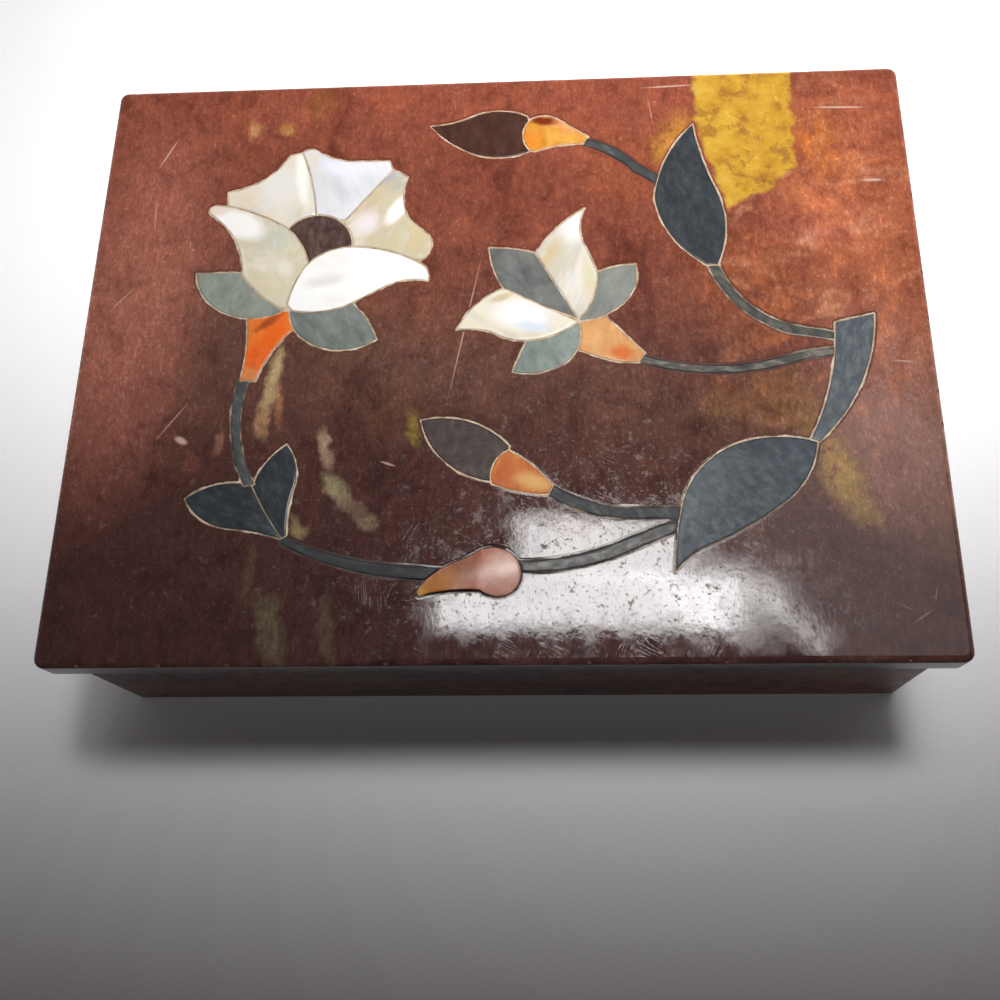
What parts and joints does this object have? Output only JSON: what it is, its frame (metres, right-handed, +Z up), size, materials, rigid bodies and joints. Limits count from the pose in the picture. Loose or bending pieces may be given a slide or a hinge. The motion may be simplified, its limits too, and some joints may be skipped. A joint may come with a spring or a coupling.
{
  "type": "stone trinket box",
  "caption": "Low rectangular stone trinket box with an overhanging hinged lid, inlaid on top with a flower spray in shell and coloured stone, over one open compartment.",
  "frame": {"origin": "middle of the underside, which is the middle of the outline seen from above", "axes": "+X to the right along the long side, +Y to the hinged back, +Z up"},
  "size_m": [0.114, 0.0864, 0.0315],
  "materials": {
    "box_stone": "polished red-brown soapstone with ochre and green-grey veins and fine pale scratches",
    "pearl": "polished mother-of-pearl with a faint pink and blue lustre",
    "sepal_stone": "polished grey-green stone",
    "brown_stone": "polished dark brown stone",
    "orange_stone": "polished banded orange agate",
    "slate": "satin blue-grey slate",
    "cement": "matte pale cement",
    "brass": "aged brass"
  },
  "bodies": {
    "base": {"front_wall": "box_stone", "back_wall": "box_stone", "left_wall": "box_stone", "right_wall": "box_stone", "floor_slab": "box_stone", "left_hinge_base_leaf": "brass", "left_hinge_pin": "brass", "right_hinge_base_leaf": "brass", "right_hinge_pin": "brass", "base_leaf_screws": "brass"},
    "lid": {"lid_slab": "box_stone", "setting_cement": "cement", "large_flower_front_petal": "pearl", "large_flower_left_petal": "pearl", "large_flower_back_left_petal": "pearl", "large_flower_back_petal": "pearl", "large_flower_right_petal": "pearl", "small_flower_top_petal": "pearl", "small_flower_left_petal": "pearl", "large_flower_left_sepal": "sepal_stone", "large_flower_right_sepal": "sepal_stone", "small_flower_back_sepal": "sepal_stone", "small_flower_right_sepal": "sepal_stone", "small_flower_low_sepal": "sepal_stone", "large_flower_heart": "brown_stone", "top_bud_leaf": "brown_stone", "side_bud_leaf": "brown_stone", "large_flower_calyx": "orange_stone", "top_bud_calyx": "orange_stone", "side_bud_calyx": "orange_stone", "small_flower_calyx": "orange_stone", "low_bud": "orange_stone", "large_flower_stem": "slate", "twin_leaf_left": "slate", "twin_leaf_right": "slate", "low_bud_left_stem": "slate", "low_bud_right_stem": "slate", "broad_leaf": "slate", "main_branch": "slate", "tall_leaf": "slate", "tall_leaf_stem": "slate", "small_flower_stem": "slate", "side_bud_stem": "slate", "top_bud_stem": "slate", "left_hinge_lid_leaf": "brass", "right_hinge_lid_leaf": "brass", "lid_leaf_screws": "brass"}
  },
  "joints": [
    {"name": "lid_hinge", "type": "hinge", "parent": "base", "child": "lid", "pos_m": [0, 0.04205, 0.0265], "axis": [-1, 0, 0], "range_deg": [0, 110]}
  ]
}
